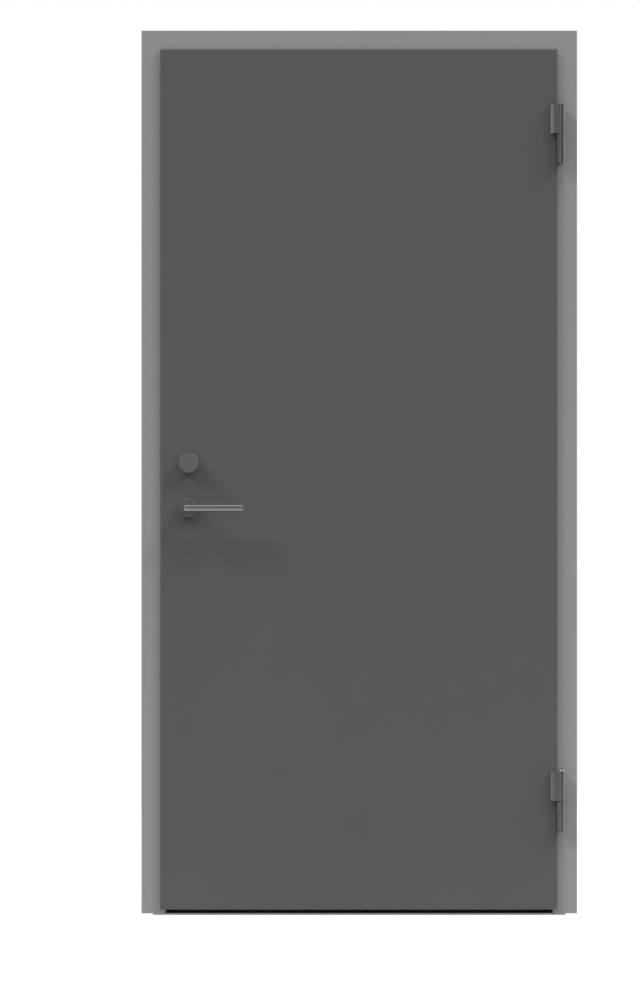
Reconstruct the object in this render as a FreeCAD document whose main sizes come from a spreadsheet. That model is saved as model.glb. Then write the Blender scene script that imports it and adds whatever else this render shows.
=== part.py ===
"""Steel utility door set: a folded steel frame, a rebated sheet-steel leaf, two
knuckle hinges, and a lever handle with a blank lock cover on each side.

X runs along the wall and is positive towards the hinges, Y runs into the wall,
and Z is up. The origin is on the floor, at the middle of the threshold's underside.
All sizes are in millimetres.
"""

import FreeCAD
import Part
import Sketcher
import math
import os

# Driving dimensions
SIZES = {
    # frame, folded from one thickness of sheet
    "frame_width": 990,
    "frame_height": 2093,
    "frame_depth": 90,
    "frame_sheet": 2,
    "flange_overlap": 27,
    "jamb_face": 32,
    "stop_width": 18,
    "rebate_depth": 48,
    "rear_lip": 14,
    "bend_radius": 3,
    # threshold
    "threshold_thickness": 4,
    "threshold_stop_height": 24,
    "threshold_sheet": 2,
    # rubber seals on the stops
    "seal_width": 9,
    "seal_inset": 1,
    "seal_clearance": 0.5,
    "seal_round": 3,
    # leaf
    "leaf_sheet": 1.5,
    "leaf_thickness": 53,
    "leaf_proud": 9,
    "leaf_bend": 2,
    "lip_bend": 3.5,
    "lip_thickness": 4,
    "overlap_lock": 14,
    "overlap_hinge": 11.4,
    "overlap_top": 15,
    "gap_lock": 8,
    "gap_hinge": 6,
    "gap_top": 6,
    "gap_bottom": 10,
    # hinges
    "upper_hinge_drop": 190.5,
    "lower_hinge_height": 273,
    "hinge_axis_out": 10.6,
    "hinge_axis_front": 7,
    "barrel_diameter": 14,
    "barrel_height": 69,
    "barrel_cap": 4.5,
    "barrel_chamfer": 1.5,
    "pin_diameter": 8,
    "pin_length": 50,
    "pin_clearance": 0.05,
    "pin_end_gap": 1,
    "ring_diameter": 12,
    "ring_height": 3,
    "ring_clearance": 0.1,
    "ring_gap": 0.3,
    "wing_recess": 2,
    "leaf_wing_width": 27,
    "leaf_wing_round": 11.5,
    "frame_wing_thickness": 5,
    "frame_wing_gap": 2.6,
    # lever handle
    "lever_height": 976,
    "lever_backset": 47,
    "lever_diameter": 18,
    "lever_length": 139,
    "lever_end": 8,
    "lever_reach": 50,
    "lever_edge": 0.8,
    "neck_diameter": 14,
    "neck_gap": 0.5,
    "spindle_side": 8,
    "spindle_socket": 25,
    "spindle_hole": 20,
    "rosette_diameter": 46,
    "rosette_depth": 13,
    "rosette_edge": 0.4,
    "rosette_clearance": 0.3,
    # blank lock cover
    "cover_rise": 107,
    "cover_diameter": 46,
    "cover_depth": 22,
    "cover_edge": 0.4,
    # lock
    "forend_height": 235,
    "forend_width": 22,
    "forend_thickness": 3,
    "forend_clearance": 0.2,
    "case_height": 190,
    "case_depth": 90,
    "case_thickness": 16,
    "follower_hole": 13,
    "latch_height": 28,
    "latch_width": 12,
    "latch_nose": 3,
    "latch_bevel": 3,
    "bolt_proud": 1,
    "dead_bolt_height": 34,
    "dead_bolt_width": 12,
    # strike in the lock jamb
    "strike_height": 200,
    "strike_width": 26,
    "strike_clearance": 0.2,
    "strike_window_gap": 3,
    "strike_box_depth": 24,
    "strike_box_wall": 3,
    "strike_ledge": 1,
    # wall anchors through the jambs
    "anchor_hole": 11,
    "anchor_sleeve": 16,
    "anchor_low": 250,
    "anchor_under_strike": 89.5,
    "anchor_high": 1840,
}
EDGE_TOLERANCE = 0.01

# Places worked out from the driving dimensions
WALL = "(-sizes.frame_depth / 2)"
FACE = f"({WALL} - sizes.frame_sheet)"
STOP = f"({WALL} + sizes.rebate_depth)"
REAR = "(sizes.frame_depth / 2)"
LEAF_FRONT = f"({FACE} - sizes.leaf_proud)"
LIP_BACK = f"({LEAF_FRONT} + sizes.lip_thickness)"
LEAF_BACK = f"({LEAF_FRONT} + sizes.leaf_thickness)"
LOCK_Y = f"(({LIP_BACK} + {LEAF_BACK}) / 2)"
HINGE_Y = f"({LEAF_FRONT} - sizes.hinge_axis_front)"
ANCHOR_Y = f"({WALL} + sizes.rebate_depth / 2)"

BODY_X = "(sizes.frame_width / 2)"
FLANGE_OUT = "(sizes.jamb_face + sizes.flange_overlap)"
OPEN_X = f"({BODY_X} - sizes.jamb_face)"
STOP_X = f"({OPEN_X} - sizes.stop_width)"
FLANGE_X = f"({OPEN_X} + {FLANGE_OUT})"
LEAF_LEFT = f"(-{OPEN_X} - sizes.overlap_lock)"
LEAF_RIGHT = f"({OPEN_X} + sizes.overlap_hinge)"
TRAY_LEFT = f"(-{OPEN_X} + sizes.gap_lock)"
TRAY_RIGHT = f"({OPEN_X} - sizes.gap_hinge)"
HINGE_X = f"({LEAF_RIGHT} + sizes.hinge_axis_out)"
LEVER_X = f"({TRAY_LEFT} + sizes.lever_backset)"

FLOOR_TOP = "sizes.threshold_thickness"
OPEN_TOP = "(sizes.frame_height - sizes.jamb_face)"
STOP_TOP = f"({OPEN_TOP} - sizes.stop_width)"
FLANGE_TOP = f"({OPEN_TOP} + {FLANGE_OUT})"
LEAF_BOTTOM = f"({FLOOR_TOP} + sizes.gap_bottom)"
LEAF_TOP = f"({OPEN_TOP} + sizes.overlap_top)"
TRAY_TOP = f"({OPEN_TOP} - sizes.gap_top)"
LEVER_Z = "sizes.lever_height"
COVER_Z = f"({LEVER_Z} + sizes.cover_rise)"
LOCK_Z = f"({LEVER_Z} + sizes.cover_rise / 2)"
HINGE_HEIGHTS = {
    "upper": f"({OPEN_TOP} - sizes.upper_hinge_drop)",
    "lower": "sizes.lower_hinge_height",
}

doc = FreeCAD.newDocument("steel_utility_door")
sheet = doc.addObject("Spreadsheet::Sheet", "sizes")
for row, (alias, size) in enumerate(SIZES.items(), start=1):
    sheet.set(f"A{row}", alias)
    sheet.set(f"B{row}", str(size))
    sheet.setAlias(f"B{row}", alias)
doc.recompute()


def value(expression):
    """The present value of an expression on the sheet, in millimetres."""
    return float(sheet.evalExpression(expression))


def new_body(name):
    body = doc.addObject("PartDesign::Body", name)
    body.Label = name
    return body


def new_sketch(body, plane, across="0", up="0", out="0"):
    """A sketch on one of the body's origin planes, shifted in its own axes.

    XY_Plane has its axes along X and Y and faces +Z, XZ_Plane has them along X
    and Z and faces -Y, and YZ_Plane has them along Y and Z and faces +X.
    """
    sketch = body.newObject("Sketcher::SketchObject", f"{body.Name}_sketch")
    origin_plane = [f for f in body.Origin.OriginFeatures if f.Role == plane][0]
    sketch.AttachmentSupport = [(origin_plane, "")]
    sketch.MapMode = "FlatFace"
    for axis, shift in (("x", across), ("y", up), ("z", out)):
        sketch.setExpression(f"AttachmentOffset.Base.{axis}", shift)
    return sketch


def bind(sketch, kind, expression, *place):
    """A driving constraint whose value follows an expression on the sheet."""
    constraint = Sketcher.Constraint(kind, *place, value(expression))
    sketch.setExpression(f"Constraints[{sketch.addConstraint(constraint)}]", expression)


def outline(sketch, corners):
    """A closed outline of straight sides through corners given as expressions."""
    points = [FreeCAD.Vector(value(x), value(y), 0) for x, y in corners]
    first = sketch.GeometryCount
    count = len(points)
    for i in range(count):
        sketch.addGeometry(Part.LineSegment(points[i], points[(i + 1) % count]))
    for i in range(count):
        after = first + (i + 1) % count
        sketch.addConstraint(Sketcher.Constraint("Coincident", first + i, 2, after, 1))
    for i, (x, y) in enumerate(corners):
        bind(sketch, "DistanceX", x, -1, 1, first + i, 1)
        bind(sketch, "DistanceY", y, -1, 1, first + i, 1)


def rectangle(sketch, left, right, bottom, top):
    outline(sketch, [(left, bottom), (right, bottom), (right, top), (left, top)])


def oblong(sketch, middle, half_width, bottom, top):
    """An upright slot outline with half-round ends."""
    low = f"({bottom} + {half_width})"
    high = f"({top} - {half_width})"
    sides = [
        (f"({middle} + {half_width})", low, high),
        (f"({middle} - {half_width})", high, low),
    ]
    first = sketch.GeometryCount
    for turn, (side, start, end) in enumerate(sides):
        points = [FreeCAD.Vector(value(side), value(y), 0) for y in (start, end)]
        line = sketch.addGeometry(Part.LineSegment(*points))
        centre = FreeCAD.Vector(value(middle), value(end), 0)
        whole = Part.Circle(centre, FreeCAD.Vector(0, 0, 1), value(half_width))
        half_turns = (turn * math.pi, (turn + 1) * math.pi)
        arc = sketch.addGeometry(Part.ArcOfCircle(whole, *half_turns))
        for point, y in ((1, start), (2, end)):
            bind(sketch, "DistanceX", side, -1, 1, line, point)
            bind(sketch, "DistanceY", y, -1, 1, line, point)
        bind(sketch, "DistanceY", end, -1, 1, arc, 3)
    for i in range(4):
        after = first + (i + 1) % 4
        sketch.addConstraint(Sketcher.Constraint("Coincident", first + i, 2, after, 1))


def circle(sketch, x, y, diameter):
    centre = FreeCAD.Vector(value(x), value(y), 0)
    index = sketch.addGeometry(
        Part.Circle(centre, FreeCAD.Vector(0, 0, 1), value(diameter) / 2)
    )
    bind(sketch, "DistanceX", x, -1, 1, index, 3)
    bind(sketch, "DistanceY", y, -1, 1, index, 3)
    bind(sketch, "Diameter", diameter, index)


def feature(body, kind, sketch, length):
    """A Pad along the sketch's normal, or a Pocket against it."""
    added = body.newObject(f"PartDesign::{kind}", f"{body.Name}_{kind.lower()}")
    added.Profile = sketch
    added.setExpression("Length", length)
    doc.recompute()
    return added


def pad(body, sketch, length):
    return feature(body, "Pad", sketch, length)


def pocket(body, sketch, length, forwards=False):
    """Cut against the sketch's normal, or along it, and make sure that it cut."""
    before = body.Shape.Volume
    cut = feature(body, "Pocket", sketch, length)
    cut.Reversed = forwards
    doc.recompute()
    if body.Shape.Volume >= before:
        raise RuntimeError(f"a pocket in {body.Label} cuts nothing")
    return cut


def revolve(body, sketch):
    """Turn a half profile once round the sketch's vertical axis."""
    turned = body.newObject("PartDesign::Revolution", f"{body.Name}_revolution")
    turned.Profile = sketch
    turned.ReferenceAxis = (sketch, ["V_Axis"])
    turned.Angle = 360
    doc.recompute()
    return turned


def edges_at(shape, places):
    """Names of the edges that lie wholly on any of the given lines or planes.

    A line is written as its two fixed coordinates, such as {"X": 0, "Y": 5}, and a
    plane as one.
    """
    names = []
    for number, edge in enumerate(shape.Edges, start=1):
        box = edge.BoundBox
        for place in places:
            reach = [
                max(abs(getattr(box, f"{axis}{end}") - fixed) for end in ("Min", "Max"))
                for axis, fixed in place.items()
            ]
            if max(reach) < EDGE_TOLERANCE:
                names.append(f"Edge{number}")
    return names


def dress(body, kind, base, places, size_name, size):
    """A Fillet or a Chamfer on the edges at the given places."""
    dressed = body.newObject(f"PartDesign::{kind}", f"{body.Name}_{kind.lower()}")
    dressed.Base = (base, edges_at(base.Shape, places))
    dressed.setExpression(size_name, size)
    doc.recompute()
    return dressed


def fillet(body, base, places, radius):
    return dress(body, "Fillet", base, places, "Radius", radius)


def chamfer(body, base, places, size):
    return dress(body, "Chamfer", base, places, "Size", size)


# Frame
# Corners of the folded section, as the distance outwards from the opening's edge
# and the depth. The first list runs round the visible side, the second back inside.
SECTION_OUTSIDE = [
    (FLANGE_OUT, FACE),
    ("0", FACE),
    ("0", STOP),
    ("-sizes.stop_width", STOP),
    ("-sizes.stop_width", REAR),
    ("sizes.jamb_face", REAR),
    ("sizes.jamb_face", f"{REAR} - sizes.rear_lip"),
]
SECTION_INSIDE = [
    ("sizes.jamb_face - sizes.frame_sheet", f"{REAR} - sizes.rear_lip"),
    ("sizes.jamb_face - sizes.frame_sheet", f"{REAR} - sizes.frame_sheet"),
    ("-sizes.stop_width + sizes.frame_sheet", f"{REAR} - sizes.frame_sheet"),
    ("-sizes.stop_width + sizes.frame_sheet", f"{STOP} + sizes.frame_sheet"),
    ("sizes.frame_sheet", f"{STOP} + sizes.frame_sheet"),
    ("sizes.frame_sheet", WALL),
    (FLANGE_OUT, WALL),
]
WIDE_BENDS = [SECTION_OUTSIDE[i] for i in (1, 3, 4, 5)] + [SECTION_INSIDE[4]]
TIGHT_BENDS = [SECTION_OUTSIDE[2]] + [SECTION_INSIDE[i] for i in (1, 2, 3, 5)]
INNER_BEND = "sizes.bend_radius - sizes.frame_sheet"


def bend(body, base, to_line):
    """Round the section's folds, with the sheet's thickness between the two radii."""
    wide = fillet(body, base, [to_line(*fold) for fold in WIDE_BENDS], "sizes.bend_radius")
    fillet(body, wide, [to_line(*fold) for fold in TIGHT_BENDS], INNER_BEND)


def mitre_corners(side, across, up):
    """A triangle past the 45 degree mitre line of one upper corner of the frame."""
    spare = "sizes.frame_sheet"
    low = (f"{side} * ({STOP_X} - {spare})", f"{STOP_TOP} - {spare}")
    high = (f"{side} * ({FLANGE_X} + {spare})", f"{FLANGE_TOP} + {spare}")
    third = {"inner": low[0], "outer": high[0], "lower": low[1], "upper": high[1]}
    return [low, high, (third[across], third[up])]


def anchor_heights():
    """Heights of the wall anchors. The middle one sits below the strike."""
    middle = f"({LOCK_Z} - sizes.strike_height / 2 - sizes.anchor_under_strike)"
    return ["sizes.anchor_low", middle, "sizes.anchor_high"]


def make_jamb(name, side):
    """A folded upright, mitred at the top, with a row of anchor holes in its rebate."""
    body = new_body(name)
    section = new_sketch(body, "XY_Plane", out=FLOOR_TOP)
    corners = SECTION_OUTSIDE + SECTION_INSIDE
    outline(section, [(f"{side} * ({OPEN_X} + {out})", depth) for out, depth in corners])
    upright = pad(body, section, f"{FLANGE_TOP} - {FLOOR_TOP}")
    bend(
        body,
        upright,
        lambda out, depth: {"X": side * value(f"{OPEN_X} + {out}"), "Y": value(depth)},
    )
    mitre = new_sketch(body, "XZ_Plane", out=f"-({FACE} - sizes.frame_sheet)")
    outline(mitre, mitre_corners(side, "inner", "upper"))
    pocket(body, mitre, "sizes.frame_depth + 3 * sizes.frame_sheet")
    wall_end = f"{side} * {OPEN_X} + ({side} + 3) / 2 * sizes.frame_sheet"
    holes = new_sketch(body, "YZ_Plane", out=wall_end)
    for height in anchor_heights():
        circle(holes, ANCHOR_Y, height, "sizes.anchor_hole")
    pocket(body, holes, "3 * sizes.frame_sheet")
    return body


def make_lock_jamb():
    """The lock-side upright, with a window for the strike."""
    body = make_jamb("lock_jamb", -1)
    window = new_sketch(body, "YZ_Plane", out=f"-{OPEN_X} + sizes.frame_sheet")
    strike_outline(window, "0")
    pocket(body, window, "3 * sizes.frame_sheet")


def make_head():
    """The folded head, mitred at both ends."""
    body = new_body("frame_head")
    section = new_sketch(body, "YZ_Plane", out=f"-{FLANGE_X}")
    corners = SECTION_OUTSIDE + SECTION_INSIDE
    outline(section, [(depth, f"{OPEN_TOP} + {out}") for out, depth in corners])
    beam = pad(body, section, f"2 * {FLANGE_X}")
    bend(
        body,
        beam,
        lambda out, depth: {"Z": value(f"{OPEN_TOP} + {out}"), "Y": value(depth)},
    )
    for side in (-1, 1):
        mitre = new_sketch(body, "XZ_Plane", out=f"-({FACE} - sizes.frame_sheet)")
        outline(mitre, mitre_corners(side, "outer", "lower"))
        pocket(body, mitre, "sizes.frame_depth + 3 * sizes.frame_sheet")


def make_threshold():
    """A flat bar on the floor, and a folded channel on it that the leaf closes against."""
    plate = new_body("threshold_plate")
    sketch = new_sketch(plate, "XY_Plane")
    rectangle(sketch, f"-{BODY_X}", BODY_X, WALL, REAR)
    pad(plate, sketch, FLOOR_TOP)

    channel = new_body("threshold_stop")
    sketch = new_sketch(channel, "YZ_Plane", out=f"-{STOP_X}")
    top = "sizes.threshold_stop_height"
    gauge = "sizes.threshold_sheet"
    outline(
        sketch,
        [
            (STOP, FLOOR_TOP),
            (f"{STOP} + {gauge}", FLOOR_TOP),
            (f"{STOP} + {gauge}", f"{top} - {gauge}"),
            (f"{REAR} - {gauge}", f"{top} - {gauge}"),
            (f"{REAR} - {gauge}", FLOOR_TOP),
            (REAR, FLOOR_TOP),
            (REAR, top),
            (STOP, top),
        ],
    )
    length = pad(channel, sketch, f"2 * {STOP_X}")
    folds = [{"Y": value(depth), "Z": value(top)} for depth in (STOP, REAR)]
    fillet(channel, length, folds, gauge)


def make_seals():
    """Rubber strips on the stops, just clear of the closed leaf."""
    depth = f"({STOP} - {LEAF_BACK} - sizes.seal_clearance)"
    front = f"({STOP} - {depth})"
    near = f"({STOP_X} + sizes.seal_inset)"
    far = f"({near} + sizes.seal_width)"
    for name, side in (("lock_jamb_seal", -1), ("hinge_jamb_seal", 1)):
        body = new_body(name)
        section = new_sketch(body, "XY_Plane", out=FLOOR_TOP)
        rectangle(section, f"{side} * {near}", f"{side} * {far}", front, STOP)
        strip = pad(body, section, f"{OPEN_TOP} - {FLOOR_TOP} - sizes.seal_inset")
        edges = [{"X": side * value(across), "Y": value(front)} for across in (near, far)]
        fillet(body, strip, edges, "sizes.seal_round")
    head_bottom = f"({STOP_TOP} + sizes.seal_inset)"
    sill_top = "(sizes.threshold_stop_height - sizes.seal_inset)"
    spans = {
        "head_seal": (head_bottom, f"({head_bottom} + sizes.seal_width)"),
        "threshold_seal": (f"({sill_top} - sizes.seal_width)", sill_top),
    }
    for name, (bottom, top) in spans.items():
        body = new_body(name)
        section = new_sketch(body, "YZ_Plane", out=f"-{near}")
        rectangle(section, front, STOP, bottom, top)
        strip = pad(body, section, f"2 * {near}")
        edges = [{"Y": value(front), "Z": value(up)} for up in (bottom, top)]
        fillet(body, strip, edges, "sizes.seal_round")


def strike_outline(sketch, inset):
    """The strike's outline in the reveal, made smaller all round by an inset."""
    half_width = f"(sizes.strike_width / 2 - {inset})"
    half_height = f"(sizes.strike_height / 2 - {inset})"
    rectangle(
        sketch,
        f"{LOCK_Y} - {half_width}",
        f"{LOCK_Y} + {half_width}",
        f"{LOCK_Z} - {half_height}",
        f"{LOCK_Z} + {half_height}",
    )


def bolt_window(sketch, bolt, height, gap):
    """A rectangle round a bolt's section, with a gap all round."""
    half_width = f"(sizes.{bolt}_width / 2 + {gap})"
    half_height = f"(sizes.{bolt}_height / 2 + {gap})"
    rectangle(
        sketch,
        f"{LOCK_Y} - {half_width}",
        f"{LOCK_Y} + {half_width}",
        f"{height} - {half_height}",
        f"{height} + {half_height}",
    )


BOLT_HEIGHTS = {"latch": LEVER_Z, "dead_bolt": COVER_Z}


def make_strike():
    """A plate flush with the reveal, and the box behind it that the bolts enter."""
    back = f"(-{OPEN_X} - sizes.frame_sheet)"
    plate = new_body("strike_plate")
    sketch = new_sketch(plate, "YZ_Plane", out=back)
    strike_outline(sketch, "sizes.strike_clearance")
    for bolt, height in BOLT_HEIGHTS.items():
        bolt_window(sketch, bolt, height, "sizes.strike_window_gap")
    pad(plate, sketch, "sizes.frame_sheet")

    box = new_body("strike_box")
    floor = f"{back} - sizes.strike_box_depth"
    sketch = new_sketch(box, "YZ_Plane", out=floor)
    strike_outline(sketch, "(sizes.strike_ledge - sizes.strike_box_wall)")
    pad(box, sketch, "sizes.strike_box_depth")
    sketch = new_sketch(box, "YZ_Plane", out=back)
    strike_outline(sketch, "sizes.strike_ledge")
    pocket(box, sketch, "sizes.strike_box_depth - sizes.strike_box_wall")


def make_anchor_sleeves(name, side):
    """Spacer tubes between the reveal and the wall, round the anchor holes."""
    body = new_body(name)
    reveal = f"({OPEN_X} + sizes.frame_sheet)"
    start = reveal if side > 0 else f"-{BODY_X}"
    sketch = new_sketch(body, "YZ_Plane", out=start)
    for height in anchor_heights():
        circle(sketch, ANCHOR_Y, height, "sizes.anchor_sleeve")
        circle(sketch, ANCHOR_Y, height, "sizes.anchor_hole")
    pad(body, sketch, f"{BODY_X} - {reveal}")


# Hinges
def make_hinge(position, height):
    """A lift-off hinge: pin half on the frame, bored half on the leaf, ring between."""
    bore = "(sizes.pin_diameter + 2 * sizes.pin_clearance)"
    radius = "(sizes.barrel_diameter / 2)"
    seat = f"({height} - sizes.ring_height / 2)"
    leaf_base = f"({seat} + sizes.ring_height + sizes.ring_gap)"
    tall = "(sizes.barrel_height + sizes.barrel_cap)"
    wing_front = f"({HINGE_Y} - {radius} + sizes.wing_recess)"

    def barrel(body, base, direction):
        section = new_sketch(body, "XZ_Plane", HINGE_X, base, f"-{HINGE_Y}")
        shoulder = f"{direction} * ({tall} - sizes.barrel_chamfer)"
        tip = f"{direction} * {tall}"
        outline(
            section,
            [
                ("0", "0"),
                (radius, "0"),
                (radius, shoulder),
                (f"{radius} - sizes.barrel_chamfer", tip),
                ("0", tip),
            ],
        )
        revolve(body, section)

    leaf_half = new_body(f"{position}_hinge_leaf_half")
    wing = new_sketch(leaf_half, "XY_Plane", out=leaf_base)
    wing_left = f"{HINGE_X} - sizes.leaf_wing_width"
    rectangle(wing, wing_left, HINGE_X, wing_front, LEAF_FRONT)
    plate = pad(leaf_half, wing, "sizes.barrel_height")
    corner = {"X": value(wing_left), "Y": value(wing_front)}
    fillet(leaf_half, plate, [corner], "sizes.leaf_wing_round")
    barrel(leaf_half, leaf_base, 1)
    hole = new_sketch(leaf_half, "XY_Plane", out=leaf_base)
    circle(hole, HINGE_X, HINGE_Y, bore)
    pocket(leaf_half, hole, "sizes.pin_length + sizes.pin_end_gap", forwards=True)

    frame_half = new_body(f"{position}_hinge_frame_half")
    wing = new_sketch(frame_half, "XY_Plane", out=f"{seat} - sizes.barrel_height")
    wing_left = f"{LEAF_RIGHT} + sizes.frame_wing_gap"
    wing_right = f"{wing_left} + sizes.frame_wing_thickness"
    rectangle(wing, wing_left, wing_right, wing_front, FACE)
    pad(frame_half, wing, "sizes.barrel_height")
    barrel(frame_half, seat, -1)
    pin = new_sketch(frame_half, "XY_Plane", out=seat)
    circle(pin, HINGE_X, HINGE_Y, "sizes.pin_diameter")
    pad(frame_half, pin, "sizes.ring_height + sizes.ring_gap + sizes.pin_length")

    ring = new_body(f"{position}_hinge_ring")
    washer = new_sketch(ring, "XY_Plane", out=seat)
    circle(washer, HINGE_X, HINGE_Y, "sizes.ring_diameter")
    circle(washer, HINGE_X, HINGE_Y, "sizes.pin_diameter + 2 * sizes.ring_clearance")
    pad(ring, washer, "sizes.ring_height")


# Leaf
def tray_rectangle(sketch, inset):
    """The outline of the leaf's body inside the opening, made smaller by an inset."""
    rectangle(
        sketch,
        f"{TRAY_LEFT} + {inset}",
        f"{TRAY_RIGHT} - {inset}",
        f"{LEAF_BOTTOM} + {inset}",
        f"{TRAY_TOP} - {inset}",
    )


def spindle_hole(body, start):
    """A round hole through one sheet for the handle's spindle."""
    hole = new_sketch(body, "XZ_Plane", out=f"-({start})")
    circle(hole, LEVER_X, LEVER_Z, "sizes.spindle_hole")
    pocket(body, hole, "3 * sizes.leaf_sheet")


def make_front_sheet():
    """The front tray: face, folded lip and the turned-in edge behind it."""
    body = new_body("leaf_front_sheet")
    sketch = new_sketch(body, "XZ_Plane", out=f"-{LIP_BACK}")
    rectangle(sketch, LEAF_LEFT, LEAF_RIGHT, LEAF_BOTTOM, LEAF_TOP)
    block = pad(body, sketch, "sizes.lip_thickness")
    front = value(LEAF_FRONT)
    folds = [{"Y": front, "X": value(side)} for side in (LEAF_LEFT, LEAF_RIGHT)]
    folds.append({"Y": front, "Z": value(LEAF_TOP)})
    fillet(body, block, folds, "sizes.lip_bend")
    gauge = "sizes.leaf_sheet"
    cavity = new_sketch(body, "XZ_Plane", out=f"-({LEAF_FRONT} + {gauge})")
    rectangle(
        cavity,
        f"{LEAF_LEFT} + sizes.lip_bend",
        f"{LEAF_RIGHT} - sizes.lip_bend",
        f"{LEAF_BOTTOM} + {gauge}",
        f"{LEAF_TOP} - sizes.lip_bend",
    )
    pocket(body, cavity, f"sizes.lip_thickness - 2 * {gauge}")
    mouth = new_sketch(body, "XZ_Plane", out=f"-({LEAF_FRONT} + {gauge})")
    tray_rectangle(mouth, gauge)
    pocket(body, mouth, "sizes.lip_thickness")
    spindle_hole(body, f"{LEAF_FRONT} - {gauge}")


def make_rear_sheet():
    """The rear tray, open to the front, with a cut-out in its lock edge."""
    body = new_body("leaf_rear_sheet")
    depth = f"({LEAF_BACK} - {LIP_BACK})"
    sketch = new_sketch(body, "XZ_Plane", out=f"-{LEAF_BACK}")
    tray_rectangle(sketch, "0")
    block = pad(body, sketch, depth)
    back = value(LEAF_BACK)
    folds = [{"Y": back, "X": value(side)} for side in (TRAY_LEFT, TRAY_RIGHT)]
    folds += [{"Y": back, "Z": value(end)} for end in (LEAF_BOTTOM, TRAY_TOP)]
    fillet(body, block, folds, "sizes.leaf_bend")
    gauge = "sizes.leaf_sheet"
    cavity = new_sketch(body, "XZ_Plane", out=f"-{LIP_BACK}")
    tray_rectangle(cavity, gauge)
    pocket(body, cavity, f"{depth} - {gauge}")
    slot = new_sketch(body, "YZ_Plane", out=f"{TRAY_LEFT} + 2 * {gauge}")
    forend_outline(slot, "sizes.forend_clearance")
    pocket(body, slot, f"3 * {gauge}")
    spindle_hole(body, f"{LEAF_BACK} - 2 * {gauge}")


# Lock
def forend_outline(sketch, gap):
    """The forend's outline on the leaf's lock edge, with a gap all round."""
    half_width = f"(sizes.forend_width / 2 + {gap})"
    half_height = f"(sizes.forend_height / 2 + {gap})"
    ends = f"({LOCK_Z} - {half_height})", f"({LOCK_Z} + {half_height})"
    oblong(sketch, LOCK_Y, half_width, *ends)


def bevel_latch(body):
    """Slope the latch's nose on the side that meets the strike as the leaf closes."""
    tip = f"({TRAY_LEFT} - sizes.bolt_proud)"
    rear = f"({LOCK_Y} + sizes.latch_width / 2)"
    top = f"({LEVER_Z} + sizes.latch_height / 2)"
    wedge = new_sketch(body, "XY_Plane", out=top)
    nose = f"{LOCK_Y} - sizes.latch_width / 2 + sizes.latch_nose"
    outline(wedge, [(tip, nose), (tip, rear), (f"{tip} + sizes.latch_bevel", rear)])
    pocket(body, wedge, "sizes.latch_height")


def make_lock():
    """The case inside the leaf, its forend, and two bolts drawn in."""
    case_front = f"({TRAY_LEFT} + sizes.forend_thickness)"
    forend = new_body("lock_forend")
    sketch = new_sketch(forend, "YZ_Plane", out=TRAY_LEFT)
    forend_outline(sketch, "0")
    for bolt, height in BOLT_HEIGHTS.items():
        bolt_window(sketch, bolt, height, "sizes.forend_clearance")
    pad(forend, sketch, "sizes.forend_thickness")

    case = new_body("lock_case")
    sketch = new_sketch(case, "XZ_Plane", out=f"-({LOCK_Y} + sizes.case_thickness / 2)")
    rectangle(
        sketch,
        case_front,
        f"{case_front} + sizes.case_depth",
        f"{LOCK_Z} - sizes.case_height / 2",
        f"{LOCK_Z} + sizes.case_height / 2",
    )
    circle(sketch, LEVER_X, LEVER_Z, "sizes.follower_hole")
    pad(case, sketch, "sizes.case_thickness")

    for bolt, height in BOLT_HEIGHTS.items():
        name = "latch_bolt" if bolt == "latch" else bolt
        body = new_body(name)
        sketch = new_sketch(body, "YZ_Plane", out=f"{TRAY_LEFT} - sizes.bolt_proud")
        bolt_window(sketch, bolt, height, "0")
        pad(body, sketch, "sizes.forend_thickness + sizes.bolt_proud")
        if bolt == "latch":
            bevel_latch(body)


# Handle
def make_disc(name, height, face, direction, prefix):
    """A round cover on the leaf with a chamfered rim."""
    body = new_body(name)
    depth = f"sizes.{prefix}_depth"
    sketch = new_sketch(body, "XZ_Plane", out=f"-{face}")
    circle(sketch, LEVER_X, height, f"sizes.{prefix}_diameter")
    disc = pad(body, sketch, depth)
    disc.Reversed = direction > 0
    doc.recompute()
    rim = {"Y": value(f"{face} + {direction} * {depth}")}
    chamfer(body, disc, [rim], f"sizes.{prefix}_edge")
    return body


def make_rosette(name, face, direction):
    """A round cover with a hole that the lever's neck turns in."""
    body = make_disc(name, LEVER_Z, face, direction, "rosette")
    hole = new_sketch(body, "XZ_Plane", out=f"-{face}")
    circle(hole, LEVER_X, LEVER_Z, "sizes.neck_diameter + 2 * sizes.rosette_clearance")
    pocket(body, hole, "sizes.rosette_depth", forwards=direction < 0)


def make_lever(name, face, direction):
    """A round neck standing off the leaf and a straight round bar with flat ends."""
    body = new_body(name)
    axis_depth = f"({face} + {direction} * sizes.lever_reach)"
    neck_base = f"({face} + {direction} * sizes.neck_gap)"
    near_end = f"({LEVER_X} - sizes.lever_end)"
    far_end = f"({near_end} + sizes.lever_length)"
    bar = new_sketch(body, "YZ_Plane", out=near_end)
    circle(bar, axis_depth, LEVER_Z, "sizes.lever_diameter")
    grip = pad(body, bar, "sizes.lever_length")
    chamfer(body, grip, [{"X": value(end)} for end in (near_end, far_end)], "sizes.lever_edge")
    neck = new_sketch(body, "XZ_Plane", out=f"-{neck_base}")
    circle(neck, LEVER_X, LEVER_Z, "sizes.neck_diameter")
    stem = pad(body, neck, "sizes.lever_reach - sizes.neck_gap")
    stem.Reversed = direction > 0
    doc.recompute()
    socket = new_sketch(body, "XZ_Plane", out=f"-{neck_base}")
    half = "sizes.spindle_side / 2"
    rectangle(
        socket,
        f"{LEVER_X} - {half}",
        f"{LEVER_X} + {half}",
        f"{LEVER_Z} - {half}",
        f"{LEVER_Z} + {half}",
    )
    pocket(body, socket, "sizes.spindle_socket", forwards=direction < 0)


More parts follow.
